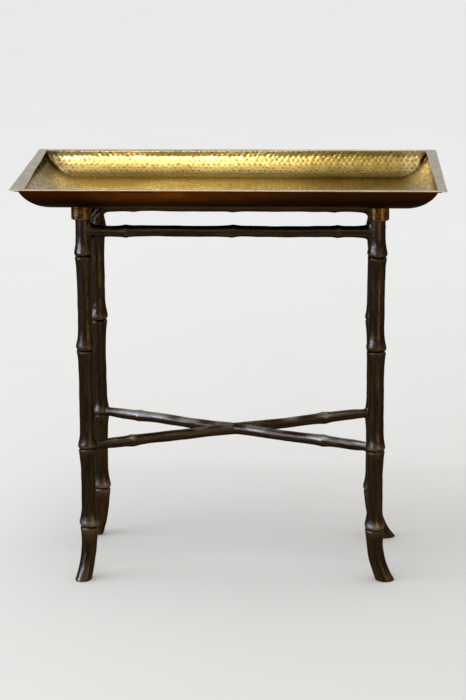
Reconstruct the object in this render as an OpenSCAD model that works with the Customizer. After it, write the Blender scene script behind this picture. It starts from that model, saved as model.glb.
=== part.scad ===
// Tray table: a loose hammered brass tray standing on a cast "bamboo" stand.
// The origin is on the floor under the stand's centre, +X along the tray, +Z up. Millimetres.

/* [Tray] */
// Length of the tray over its rim
tray_l = 640; // [600:1:680]
// Width of the tray over its rim
tray_w = 364; // [340:1:420]
// Height of the rim's top above the floor
tray_top = 626; // [620:1:680]
// Depth from the underside of the rim to the underside of the floor
tray_drop = 35; // [28:1:42]
// Outside radius of the rolled walls
wall_r = 60; // [55:1:80]
// Thickness of the hammered sheet
sheet_t = 1.5; // [1:0.1:2.5]
// Thickness of the flat rim strips
rim_t = 1.6; // [1.2:0.1:3]
// Width of the rim strips at the two ends
rim_end_w = 17; // [14:0.5:22]
// Width of the rim strips along the two long sides
rim_side_w = 10; // [9:0.5:20]
// How far the end strips overhang the inside of the tray
over_end = 3; // [0:0.5:4]
// How far the side strips overhang the inside of the tray
over_side = 1; // [0:0.5:3]
// Width of the lip that the sheet is turned out to under the rim
lip_w = 6; // [4:0.5:7]
// Radius of the tray's outer corners
rim_corner_r = 4; // [2:0.5:8]

/* [Stand] */
// Distance between leg axes along the tray
leg_span_x = 441; // [400:1:450]
// Distance between leg axes across the tray
leg_span_y = 198; // [180:1:200]
// Radius of a leg between its bamboo rings
leg_r = 11.6; // [11.4:0.1:12.6]
// Height at which the straight leg turns into the curved foot
foot_top = 70; // [60:1:78]
// Height of each leg cap
cap_h = 22.5; // [18:0.5:24]
// Radius of each leg cap
cap_r = 15.5; // [14:0.5:17]
// How far each cap stands outboard of its leg's axis, along the tray
cap_out = 2; // [0:0.5:3]

/* [Feet] */
// How far the front left foot's centre line kicks outward at the floor
kick_front_left = 17; // [12:1:26]
// How far the front right foot kicks outward
kick_front_right = 17; // [12:1:26]
// How far the back left foot kicks outward
kick_back_left = 19; // [12:1:26]
// How far the back right foot kicks outward
kick_back_right = 24; // [12:1:26]
// Plan angle of the front left kick, from the tray's length towards its width
turn_front_left = 55; // [0:5:60]
// Plan angle of the front right kick
turn_front_right = 0; // [0:5:60]
// Plan angle of the back left kick
turn_back_left = 45; // [0:5:60]
// Plan angle of the back right kick
turn_back_right = 25; // [0:5:60]

/* [Rails and stretcher] */
// Height of the four top rails' axes
rail_z = 549; // [546:1:552]
// Radius of a top rail between its rings
rail_r = 8.4; // [7:0.1:8.6]
// Height of the crossed stretcher's axes
cross_z = 213; // [211:1:215]
// Radius of a stretcher bar between its rings
bar_r = 8.2; // [6.5:0.1:8.4]
// Radius of a stretcher bar where it necks down at a leg
neck_r = 7.0; // [5:0.1:7.4]

/* [Joints] */
// Radius of the spigots that hold the rails and bars in the legs
spigot_r = 4; // [3:0.1:4]
// Distance from a leg's axis to the tip of a spigot
spigot_tip = 5.5; // [5:0.1:7]
// Radius of the studs that hold the caps on the legs
stud_r = 4; // [3:0.1:4]
// Depth of a stud in the leg, and again in the cap
stud_depth = 9.5; // [7:0.5:9.5]
// Radius of the rivet through the stretcher's crossing
rivet_r = 2.5; // [2:0.1:3]
// Gap that the braze fills between two joined pieces
braze_gap = 0.06; // [0.04:0.01:0.1]

/* [Hidden] */
$fn = 64;
rim_under = tray_top - rim_t;                       // underside of the rim strips
pan_under = rim_under - tray_drop;                  // underside of the tray, where it stands
function rise_angle(r, rise) = acos(1 - rise / r);  // slope of a wall of radius r at that height
inner_r = wall_r - sheet_t;
inner_run = inner_r * sin(rise_angle(inner_r, tray_drop - sheet_t));  // how far a wall leans out
mouth_x = tray_l / 2 - rim_end_w + over_end;        // half length of the pan's inside at the top
mouth_y = tray_w / 2 - rim_side_w + over_side;      // and half its width
floor_x = mouth_x - inner_run;                      // half length of the flat floor
floor_y = mouth_y - inner_run;                      // half width of the flat floor
wall_steps = 12;                                    // flats that make up each rolled wall
leg_top = pan_under - cap_h;                        // where a leg ends and its cap begins
leg_x = leg_span_x / 2;
leg_y = leg_span_y / 2;
leg_rings = [88, 213, 370.5, 516];                  // heights of a leg's bamboo rings
// Outline of one ring as steps along the cane and out from it: flare, ridge, groove, ridge, taper
ring = [[-30, 0], [-18, 0.5], [-9, 1.9], [-6.5, 2.2], [-4.5, 0.7], [-2, 2.6], [1, 3.2], [4, 2.4],
        [10, 0.8], [20, 0]];
small = 0.45;                                       // size of a rail's rings beside a leg's
cross_turn = atan(leg_span_y / leg_span_x);         // plan angle of a stretcher bar
cross_half = norm([leg_x, leg_y]);                  // half the distance between the legs it joins
neck_l = 30;                                        // length over which a bar necks down
front_rings = leg_x * [-0.71, 0.02, 0.73];          // places of the rings along the long rails
side_rings = leg_y * [-0.34, 0.46];                 // and along the short rails
bar_rings = cross_half * [-0.7, 0.64];              // and along the stretcher bars
foot_r = leg_r + 0.4;                               // radius of the foot, a little over the leg's
foot_lap = 2;                                       // how far the foot runs up into the straight leg
past = 1;                                           // how far a cut runs past what it cuts

bronze = [0.24, 0.17, 0.1];
cap_brass = [0.46, 0.33, 0.15];
tray_brass = [0.78, 0.6, 0.25];
rim_brass = [0.62, 0.61, 0.56];
steel = [0.6, 0.6, 0.6];

// ---- Tray ----

// Cross-section of the tray's outside, or of its inside when inset is the sheet's thickness
module wall_section(half_flat, inset) {
    r = wall_r - inset;
    top = inset > 0 ? tray_drop + past : tray_drop;
    sweep = rise_angle(r, top - inset);
    edge = [for (i = [0:wall_steps]) let (t = sweep * i / wall_steps)
        [half_flat + r * sin(t), inset + r * (1 - cos(t))]];
    back = [for (i = [wall_steps:-1:0]) [-edge[i][0], edge[i][1]]];
    polygon(concat(edge, back));
}

// A block with the rolled wall section both ways, which gives mitred corners
module rolled_block(inset) {
    intersection() {
        rotate([90, 0, 0]) linear_extrude(tray_w, center = true) wall_section(floor_x, inset);
        rotate([90, 0, 90]) linear_extrude(tray_l, center = true) wall_section(floor_y, inset);
    }
}

module tray_pan() color(tray_brass) translate([0, 0, pan_under]) difference() {
    union() {
        rolled_block(0);
        translate([0, 0, tray_drop - sheet_t / 2])
            cube([2 * (mouth_x + lip_w), 2 * (mouth_y + lip_w), sheet_t], center = true);
    }
    rolled_block(sheet_t);
}

// The rim's outline in plan, with rounded outer corners
module rim_outline() {
    x = tray_l / 2 - rim_corner_r;
    y = tray_w / 2 - rim_corner_r;
    square([tray_l, 2 * y], center = true);
    square([2 * x, tray_w], center = true);
    for (sx = [-1, 1], sy = [-1, 1]) translate([sx * x, sy * y]) circle(rim_corner_r);
}

// One flat strip of the rim, mitred at both ends. across is +1 at the back or right side.
module rim_strip(along_x, across) {
    ox = tray_l / 2 + past;
    oy = tray_w / 2 + past * rim_side_w / rim_end_w;
    ix = tray_l / 2 - rim_end_w;
    iy = tray_w / 2 - rim_side_w;
    translate([0, 0, rim_under]) linear_extrude(rim_t) intersection() {
        rim_outline();
        if (along_x) polygon([[-ox, across * oy], [ox, across * oy], [ix, across * iy], [-ix, across * iy]]);
        else polygon([[across * ox, -oy], [across * ox, oy], [across * ix, iy], [across * ix, -iy]]);
    }
}

module tray_rim_front() color(rim_brass) rim_strip(true, -1);
module tray_rim_back() color(rim_brass) rim_strip(true, 1);
module tray_rim_left() color(rim_brass) rim_strip(false, -1);
module tray_rim_right() color(rim_brass) rim_strip(false, 1);

// ---- Bamboo-shaped castings ----

// Points along a cane's edge, [radius, height], for rings at the given places
function cane_edge(r, rings, size) = [for (at = rings) for (p = ring) [r + size * p[1], at + size * p[0]]];

// A round cane along +Z with rings, its radius easing to end_r over neck at both ends
module cane(low, high, r, end_r, neck, rings, size) {
    rotate_extrude() polygon(concat([[0, low], [end_r, low], [r, low + neck]], cane_edge(r, rings, size),
        [[r, high - neck], [end_r, high], [0, high]]));
}

// The straight part of a leg, grown by the given gap where another piece is coped to it
module leg_shaft(gap = 0) {
    rotate_extrude() intersection() {
        polygon(concat([[0, 0], [leg_r + gap, 0]], cane_edge(leg_r + gap, leg_rings, 1),
            [[leg_r + gap, leg_top + gap], [0, leg_top + gap]]));
        translate([0, foot_top]) square([2 * leg_r, leg_top]);
    }
}

// The curved foot, kicking out along +X. Its centre line is an arc that leaves the leg's axis
// at foot_top, and its end is cut flat at the floor.
module leg_foot(kick) {
    sweep = 2 * atan(kick / foot_top);
    arc_r = foot_top / sin(sweep);
    lead = 3;
    intersection() {
        translate([arc_r, 0, foot_top]) rotate([90, 0, 0]) rotate([0, 0, 180 - lead])
            rotate_extrude(angle = lead + sweep + 8) translate([arc_r, 0]) circle(foot_r);
        translate([-arc_r / 2, -arc_r / 2, 0]) cube([2 * arc_r, arc_r, foot_top + foot_lap]);
    }
}

// A hole from a leg's surface towards its axis, at a height and in a plan direction
module spigot_hole(z, turn) {
    translate([0, 0, z]) rotate([0, 0, turn]) rotate([0, 90, 0])
        translate([0, 0, spigot_tip - braze_gap]) cylinder(h = 2 * leg_r, r = spigot_r + braze_gap);
}

// A leg on its own axis. Its rails leave along -X and -Y, as at the back right corner.
module leg_piece(kick, turn) {
    color(bronze) difference() {
        union() {
            leg_shaft();
            rotate([0, 0, turn]) leg_foot(kick);
        }
        spigot_hole(rail_z, 180);
        spigot_hole(rail_z, 270);
        spigot_hole(cross_z, 180 + cross_turn);
        translate([0, 0, leg_top - stud_depth - braze_gap])
            cylinder(h = stud_depth + past, r = stud_r + braze_gap);
    }
}

// Puts a piece made for the back right corner at any corner
module at_corner(sx, sy) {
    translate([sx * leg_x, sy * leg_y, 0])
        mirror([sx < 0 ? 1 : 0, 0, 0]) mirror([0, sy < 0 ? 1 : 0, 0]) children();
}

module leg_front_left() at_corner(-1, -1) leg_piece(kick_front_left, turn_front_left);
module leg_front_right() at_corner(1, -1) leg_piece(kick_front_right, turn_front_right);
module leg_back_left() at_corner(-1, 1) leg_piece(kick_back_left, turn_back_left);
module leg_back_right() at_corner(1, 1) leg_piece(kick_back_right, turn_back_right);

// ---- Caps and their studs ----

// A turned cap with an eased lower edge and, on the leg's axis, a blind hole for its stud
module leg_cap_piece() {
    ease = 2.5;
    chamfer = 0.8;
    color(cap_brass) translate([0, 0, leg_top]) difference() {
        translate([cap_out, 0, 0]) rotate_extrude() {
            polygon([[0, 0], [cap_r - ease, 0], [cap_r - ease, ease], [cap_r, ease], [cap_r, cap_h - chamfer],
                [cap_r - chamfer, cap_h], [0, cap_h]]);
            intersection() {
                translate([cap_r - ease, ease]) circle(ease);
                translate([cap_r - ease, 0]) square(ease);
            }
        }
        translate([0, 0, -past]) cylinder(h = stud_depth + braze_gap + past, r = stud_r + braze_gap);
    }
}

module leg_cap_front_left() at_corner(-1, -1) leg_cap_piece();
module leg_cap_front_right() at_corner(1, -1) leg_cap_piece();
module leg_cap_back_left() at_corner(-1, 1) leg_cap_piece();
module leg_cap_back_right() at_corner(1, 1) leg_cap_piece();

// A headless stud with chamfered ends, half in the leg and half in the cap
module cap_stud_piece() {
    ch = 0.8;
    color(steel) translate([0, 0, leg_top]) rotate_extrude()
        polygon([[0, -stud_depth], [stud_r - ch, -stud_depth], [stud_r, ch - stud_depth],
            [stud_r, stud_depth - ch], [stud_r - ch, stud_depth], [0, stud_depth]]);
}

module cap_stud_front_left() at_corner(-1, -1) cap_stud_piece();
module cap_stud_front_right() at_corner(1, -1) cap_stud_piece();
module cap_stud_back_left() at_corner(-1, 1) cap_stud_piece();
module cap_stud_back_right() at_corner(1, 1) cap_stud_piece();

// ---- Rails and stretcher ----

// A cane between two leg axes half apart on either side of the origin, lying along +X:
// coped to both legs, with a spigot at each end
module coped_cane(half, z, r, end_r, neck, rings) {
    difference() {
        rotate([0, 90, 0]) cane(-half, half, r, end_r, neck, rings, small);
        for (side = [-1, 1]) translate([side * half, 0, -z]) leg_shaft(braze_gap);
    }
    rotate([0, 90, 0]) cylinder(h = 2 * (half - spigot_tip), r = spigot_r, center = true);
}

module rail_long() coped_cane(leg_x, rail_z, rail_r, rail_r, neck_l, front_rings);
module rail_short() coped_cane(leg_y, rail_z, rail_r, rail_r, neck_l, side_rings);

module rail_front() color(bronze) translate([0, -leg_y, rail_z]) rail_long();
module rail_back() color(bronze) translate([0, leg_y, rail_z]) rotate([0, 0, 180]) rail_long();
module rail_left() color(bronze) translate([-leg_x, 0, rail_z]) rotate([0, 0, 90]) rail_short();
module rail_right() color(bronze) translate([leg_x, 0, rail_z]) rotate([0, 0, 270]) rail_short();

// Half of the room that a crossing bar needs: its upper half for side +1, its lower for -1
module bar_room(turn, side) {
    room = 2 * bar_r;
    intersection() {
        rotate([0, 0, turn]) rotate([0, 90, 0]) cylinder(h = 8 * bar_r, r = bar_r + braze_gap, center = true);
        translate([0, 0, side * room / 2]) cube([8 * room, 8 * room, room], center = true);
    }
}

// One bar of the crossed stretcher: turn is its plan angle, and side the half of the other it clears
module stretcher_bar(turn, side) {
    color(bronze) translate([0, 0, cross_z]) difference() {
        rotate([0, 0, turn]) coped_cane(cross_half, cross_z, bar_r, neck_r, neck_l, bar_rings);
        bar_room(-turn, side);
        cylinder(h = 4 * bar_r, r = rivet_r + braze_gap, center = true);
    }
}

module stretcher_upper() stretcher_bar(cross_turn, -1);
module stretcher_lower() stretcher_bar(-cross_turn, 1);

module stretcher_rivet() color(cap_brass) translate([0, 0, cross_z])
    cylinder(h = 2 * bar_r - 0.4, r = rivet_r, center = true);

tray_pan();
tray_rim_front();
tray_rim_back();
tray_rim_left();
tray_rim_right();
leg_front_left();
leg_front_right();
leg_back_left();
leg_back_right();
leg_cap_front_left();
leg_cap_front_right();
leg_cap_back_left();
leg_cap_back_right();
cap_stud_front_left();
cap_stud_front_right();
cap_stud_back_left();
cap_stud_back_right();
rail_front();
rail_back();
rail_left();
rail_right();
stretcher_upper();
stretcher_lower();
stretcher_rivet();
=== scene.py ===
"""Visual model of a hammered brass tray table on a cast stand shaped like bamboo canes."""
import math

import bpy
import numpy as np
from mathutils import Matrix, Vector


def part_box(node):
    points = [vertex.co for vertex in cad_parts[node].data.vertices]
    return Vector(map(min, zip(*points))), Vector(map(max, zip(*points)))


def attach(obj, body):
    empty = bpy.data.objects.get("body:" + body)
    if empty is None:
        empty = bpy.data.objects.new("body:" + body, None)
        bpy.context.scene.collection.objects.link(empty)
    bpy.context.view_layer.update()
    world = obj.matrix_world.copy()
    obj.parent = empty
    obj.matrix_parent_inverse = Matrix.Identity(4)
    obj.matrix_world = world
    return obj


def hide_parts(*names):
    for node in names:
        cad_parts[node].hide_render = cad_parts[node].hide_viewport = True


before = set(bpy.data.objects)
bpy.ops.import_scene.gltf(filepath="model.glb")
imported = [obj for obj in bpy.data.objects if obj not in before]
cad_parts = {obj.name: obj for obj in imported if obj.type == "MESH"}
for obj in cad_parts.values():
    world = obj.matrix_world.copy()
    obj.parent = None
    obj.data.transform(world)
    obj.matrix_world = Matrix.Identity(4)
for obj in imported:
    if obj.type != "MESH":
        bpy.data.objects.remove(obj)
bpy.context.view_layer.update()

MM = 0.001
TAU = 2 * math.pi

# -------------------- sizes, in millimetres
LEG_R = 11.6             # a leg between its rings
FOOT_TOP = 70.0          # where the straight leg turns into the foot
LEG_RINGS = [88.0, 213.0, 370.5, 516.0]     # their heights
FOOT_SWELL = 0.4         # how much thicker the foot is than the leg
TOE_SWELL = 0.5          # how much more it swells over its lowest TOE_H
TOE_H = 14.0
SOLE_EASE = 0.8          # rounding of the sole's edge, over its lowest SOLE_H
SOLE_H = 1.2
RAIL_R = 8.4             # a top rail between its rings
RAIL_END_R = 9.8         # where it widens to meet a leg
RAIL_TAPER = 26.0        # length over which it changes between the two
RAIL_BLEND = 9.0         # fillet of braze between a rail and a leg
BAR_R = 8.2              # a stretcher bar between its rings
BAR_END_R = 7.0          # where it narrows to meet a leg
BAR_TAPER = 30.0
BAR_BLEND = 4.5          # fillet of braze between a bar and a leg
BAR_RING_FIT = 1.2       # how much thicker a leg is where a bar meets it, which is on a ring
BAR_BULGE = 0.8          # how much thicker a bar is where the two cross
TAPER_FROM = 14.0        # where a taper starts, from the leg's axis
CANE_END = 0.7           # how deep in a leg a rail or bar ends, as a share of the leg's radius
SMALL = 0.45             # size of a rail's or bar's rings beside a leg's
FRONT_RINGS = [-0.71, 0.02, 0.73]   # their places on the front and back rails, from -1 to 1
SIDE_RINGS = [-0.34, 0.46]
BAR_RINGS = [-0.7, 0.64]
WALL_R = 60.0            # outside radius of the tray's rolled walls
SHEET_T = 1.5
BEND_R = 2.2             # where the top of a wall bends out under the rim
LIP_W = 6.0              # how far the sheet goes on under the rim
LIP_GAP = 0.05           # between the lip and the rim strips
LIP_EASE = (0.3, 0.4)    # easing of the lip's edge, inwards and downwards
RIM_CORNER = 4.0         # rounding of the rim's outer corners, in plan
HAMMER_PITCH = 8.2       # distance between hammer marks
HAMMER_DEPTH = 0.42
FLOOR_SHARE = 0.45       # depth of the marks on the flat floor beside the walls'
OUTSIDE_SHARE = 0.5      # and on the tray's outside beside the inside's
SEAM_DEPTH = 0.7         # groove along the seams at the tray's inner corners
SEAM_W = 2.2
WARP = 0.3               # how far the sheet is out of true
CRUSH = 1.3              # and how far in the crumpled back right corner
INSIDE_STEP = 1.9        # size of the mesh's cells on the tray's inside
OUTSIDE_STEP = 3.8

# Outline of one bamboo ring: steps along the cane and out from it, and where its groove lies
RING = [(-42, 0.0), (-30, 0.4), (-20, 1.15), (-12, 2.0), (-8.6, 2.55), (-6.6, 2.6), (-5.6, 1.6),
        (-4.9, 0.5), (-4.1, 0.9), (-3.3, 2.3), (-1.8, 3.2), (0.6, 3.5), (3, 3.15), (7, 2.3),
        (12, 1.25), (18, 0.5), (26, 0.0)]
# where the painted shade of the groove lies along the ring, and its width
GROOVE_AT = -4.6
GROOVE_W = 0.8

# The same on a rail or bar, where the casting is too small for a groove
SOFT_RING = [(-44, 0.0), (-26, 0.5), (-12, 1.6), (-6, 2.7), (-3, 3.0), (0, 3.3), (3, 3.1), (8, 2.2),
             (16, 1.0), (30, 0.0)]

# For each corner: the foot's kick along and across the tray, and the leg's radius against LEG_R
CORNERS = {
    "front_left": ((-9.8, -13.9), -0.5),
    "front_right": ((17.0, 0.0), 0.5),
    "back_left": ((-13.4, 13.4), -0.4),
    "back_right": ((21.8, 10.1), 0.4),
}

# Steps in the patina's pattern from one leg, cane or turned piece to the next, so that no two look alike
LEG_PATTERN = 700.0
CANE_PATTERN = 97.0
TURNED_PATTERN = 40.0


def box(node):
    """A CAD node's lowest and highest corners, in millimetres."""
    lo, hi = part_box(node)
    return np.array(lo) / MM, np.array(hi) / MM


def middle(node):
    lo, hi = box(node)
    return (lo + hi) / 2


# -------------------- mesh helpers

def make_piece(name, verts, faces, body, materials, attrs, face_mats=None, sharp_over=40.0):
    """One closed mesh in the frame, riding on a body in place of the CAD node of the same name.
    attrs are what its materials read: a number or a vector for each point."""
    mesh = bpy.data.meshes.new(name)
    points = np.reshape(verts, (-1, 3)) * MM
    mesh.from_pydata(points.tolist(), [], faces)
    for key, values in attrs.items():
        values = np.asarray(values, dtype=np.float32)
        kind, field = ("FLOAT", "value") if values.size == len(points) else ("FLOAT_VECTOR", "vector")
        mesh.attributes.new(key, kind, "POINT").data.foreach_set(field, values.ravel())
    for material in materials:
        mesh.materials.append(material)
    if face_mats is not None:
        mesh.polygons.foreach_set("material_index", np.asarray(face_mats, dtype=np.int32))
    mesh.validate()
    mesh.shade_smooth()
    mesh.set_sharp_from_angle(angle=math.radians(sharp_over))
    obj = bpy.data.objects.new(name, mesh)
    bpy.context.scene.collection.objects.link(obj)
    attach(obj, body)
    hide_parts(name)


def tube_faces(rings, around):
    """Quads between rings of points that go round counter-clockwise, and a face over each end."""
    i = np.arange(rings - 1)[:, None] * around
    j = np.arange(around)[None, :]
    k = (j + 1) % around
    quads = np.stack([i + j, i + k, i + around + k, i + around + j], -1).reshape(-1, 4).tolist()
    last = (rings - 1) * around
    return quads + [list(range(around))[::-1], list(range(last, last + around))]


def waves(rng, points, length, count=14):
    """A smooth random field of about one wavelength, mostly between -1 and 1."""
    points = np.asarray(points, dtype=float)
    if points.ndim == 1:
        points = points[:, None]
    turn = rng.normal(size=(count, points.shape[-1]))
    turn /= np.linalg.norm(turn, axis=1, keepdims=True)
    turn *= (TAU / (length * rng.uniform(0.7, 1.5, count)))[:, None]
    return np.cos(points @ turn.T + rng.uniform(0, TAU, count)).sum(-1) / math.sqrt(count)


def smoothstep(x):
    """0 below 0, 1 above 1 and smooth between."""
    x = np.clip(x, 0, 1)
    return x * x * (3 - 2 * x)


def bell(x, width):
    """1 at 0, falling away smoothly on both sides."""
    return np.exp(-0.5 * (x / width) ** 2)


def round_axis(radius, angle, along):
    """Points at a radius and an angle round an axis, and a distance along it."""
    return np.stack([radius * np.cos(angle), radius * np.sin(angle), along], -1)


def soft_table(pairs, step=0.1, spread=0.45, margin=2):
    """Dense copy of a table of points, its corners rounded."""
    xs = np.arange(pairs[0][0] - margin, pairs[-1][0] + margin, step)
    ys = np.interp(xs, [p[0] for p in pairs], [p[1] for p in pairs])
    span = np.arange(-3 * spread, 3 * spread + step, step)
    kernel = bell(span, spread)
    kernel /= kernel.sum()
    pad = len(kernel) // 2
    return xs, np.convolve(np.pad(ys, pad, mode="edge"), kernel, mode="valid")[:len(xs)]


LEG_RING = soft_table(RING)
RAIL_RING = soft_table(SOFT_RING, spread=0.8)


def stations(low, high, rings, coarse, fine, reach):
    """Places along a cane, close together near its rings."""
    out = [low]
    while out[-1] < high:
        near = min(abs(out[-1] - ring) for ring in rings)
        out.append(out[-1] + (fine if near < reach else coarse))
    out[-1] = high
    return np.array(out)


def ring_relief(rng, along, around, rings, outline, size, tilt_mm, groove_shade):
    """Height of the bamboo rings over the cane, and how much of it is a rubbed ridge; below zero in each
    groove, where it carries a painted shade.
    """
    rise = np.zeros_like(along)
    ridge = np.zeros_like(along)
    for at in rings:
        tilt = tilt_mm * rng.uniform(0.5, 1.0)
        lean = tilt * np.cos(around - rng.uniform(0, TAU))
        lump = 1 + 0.12 * np.cos(2 * around + rng.uniform(0, TAU))
        lump += 0.07 * np.cos(3 * around + rng.uniform(0, TAU))
        size_here = size * rng.uniform(0.9, 1.12)
        step = (along - at - lean) / size_here
        one = np.interp(step, *outline, left=0, right=0)
        rise += one * lump * size_here
        ridge += one / outline[1].max()
        # painted shade: each ring's groove is pushed below zero, which the bronze paints near black
        ridge -= groove_shade * bell(step - GROOVE_AT, GROOVE_W)
    return rise, ridge


def flutes(rng, along, around, depth):
    """Shallow lengthwise marks like a cane's, that come and go."""
    total = np.zeros_like(along)
    for lobes in (2, 3, 5, 9, 14, 22):
        drift = rng.uniform(0, TAU)
        drift = drift + 0.7 * np.sin(along / rng.uniform(60, 110) + rng.uniform(0, TAU))
        fade = 0.6 + 0.4 * np.cos(along / rng.uniform(25, 60) + rng.uniform(0, TAU))
        total += fade * np.cos(lobes * around + drift) / lobes ** 0.35
    return depth * total


# -------------------- materials

class Nodes:
    """Short names for building a tree of shader nodes."""

    def __init__(self, tree):
        self.tree = tree
        self.tree.nodes.clear()

    def feed(self, value, socket):
        """Link another node's output to a socket, or set the socket's value."""
        if isinstance(value, bpy.types.NodeSocket):
            self.tree.links.new(value, socket)
        elif isinstance(value, tuple) and len(socket.default_value) == 4:
            socket.default_value = (*value, 1.0)
        else:
            socket.default_value = value

    def node(self, kind, inputs=None, **settings):
        made = self.tree.nodes.new(kind)
        for key, value in settings.items():
            setattr(made, key, value)
        for key, value in (inputs or {}).items():
            self.feed(value, made.inputs[key])
        return made

    def ramp(self, fac, low, high, to_low=0.0, to_high=1.0):
        inputs = {"Value": fac, "From Min": low, "From Max": high, "To Min": to_low, "To Max": to_high}
        return self.node("ShaderNodeMapRange", inputs, interpolation_type="SMOOTHSTEP").outputs[0]

    def math(self, operation, a, b):
        return self.node("ShaderNodeMath", {0: a, 1: b}, operation=operation).outputs[0]

    def plus(self, a, b):
        return self.math("ADD", a, b)

    def times(self, a, b):
        return self.math("MULTIPLY", a, b)

    def mix(self, fac, a, b):
        """Colour a where fac is 0, b where it is 1. A Mix node's colours are its sockets 6, 7 and 2."""
        return self.node("ShaderNodeMix", {0: fac, 6: a, 7: b}, data_type="RGBA").outputs[2]


class Shader(Nodes):
    """One procedural material."""

    def __init__(self, name):
        self.material = bpy.data.materials.new(name)
        self.material.use_nodes = True
        super().__init__(self.material.node_tree)
        self.bsdf = self.node("ShaderNodeBsdfPrincipled")
        self.node("ShaderNodeOutputMaterial", {"Surface": self.bsdf.outputs[0]})

    def attribute(self, name, vector=False):
        made = self.node("ShaderNodeAttribute", attribute_name=name)
        return made.outputs["Vector" if vector else "Fac"]

    def stretched(self, vector, scale):
        return self.node("ShaderNodeMapping", {"Vector": vector, "Scale": scale}).outputs[0]

    def noise(self, vector, scale, detail=3.0, roughness=0.55):
        inputs = {"Vector": vector, "Scale": scale, "Detail": detail, "Roughness": roughness}
        return self.node("ShaderNodeTexNoise", inputs).outputs["Fac"]

    def bump(self, height, distance, strength):
        inputs = {"Height": height, "Distance": distance, "Strength": strength}
        return self.node("ShaderNodeBump", inputs).outputs[0]

    def finish(self, colour, roughness, normal, metallic=1.0, edge_tint=(1.0, 1.0, 1.0), lacquer=0.0):
        values = {"Base Color": colour, "Roughness": roughness, "Normal": normal, "Metallic": metallic,
                  "Specular Tint": edge_tint, "Coat Weight": lacquer, "Coat Roughness": 0.12}
        for key, value in values.items():
            self.feed(value, self.bsdf.inputs[key])
        return self.material


def bronze_material():
    """Dark brown patina in fine lengthwise streaks, a little rubbed on the ridges. Its wear channel also
    paints light: a painted reflection on the lower legs, a painted sheen on the stretcher bars' tops, and
    painted shade in the rings' grooves and under the bars.
    """
    s = Shader("cast_bronze_patina")
    cane = s.attribute("cane", vector=True)
    wear = s.attribute("wear")
    broad = s.noise(s.stretched(cane, (0.14, 0.14, 0.014)), 1.0, 3.0)
    streak = s.noise(s.stretched(cane, (0.5, 0.5, 0.022)), 1.0, 4.0, 0.6)
    fine = s.noise(s.stretched(cane, (1.6, 1.6, 0.07)), 1.0, 3.0, 0.6)
    cast = s.noise(cane, 0.8, 4.0, 0.65)
    marks = s.plus(s.times(streak, 0.65), s.times(fine, 0.35))
    brown = s.mix(s.ramp(marks, 0.38, 0.62), (0.020, 0.014, 0.010), (0.088, 0.056, 0.030))
    brown = s.mix(s.times(s.ramp(broad, 0.48, 0.7), 0.55), brown, (0.12, 0.085, 0.032))
    rubbed_and_painted_light = s.plus(wear, s.times(s.math("SUBTRACT", cast, 0.5), 1.3))
    # rubbed gold and bare silver: real wear on the ridges, toes and fillets, and also the painted
    # reflection on the lower legs and the painted sheen on the bars' tops
    gold = s.mix(s.ramp(fine, 0.35, 0.65), (0.11, 0.075, 0.035), (0.22, 0.165, 0.09))
    colour = s.mix(s.times(s.ramp(rubbed_and_painted_light, 0.75, 1.35), 0.5), brown, gold)
    colour = s.mix(s.ramp(rubbed_and_painted_light, 1.2, 2.2, 0.0, 0.9), colour, (0.44, 0.41, 0.36))
    # painted shade: near black in the rings' grooves and under the stretcher bars
    colour = s.mix(s.ramp(wear, -0.1, -0.7), colour, (0.003, 0.002, 0.0015))
    rough = s.plus(s.ramp(cast, 0.3, 0.7, 0.18, 0.31), s.ramp(marks, 0.35, 0.65, 0.08, -0.05))
    rough = s.plus(rough, s.ramp(rubbed_and_painted_light, 1.3, 2.2, 0.0, 0.16))
    normal = s.bump(s.plus(marks, s.times(cast, 0.35)), 0.0007, 0.8)
    return s.finish(colour, rough, normal, edge_tint=(0.30, 0.25, 0.22), lacquer=0.3)


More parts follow.
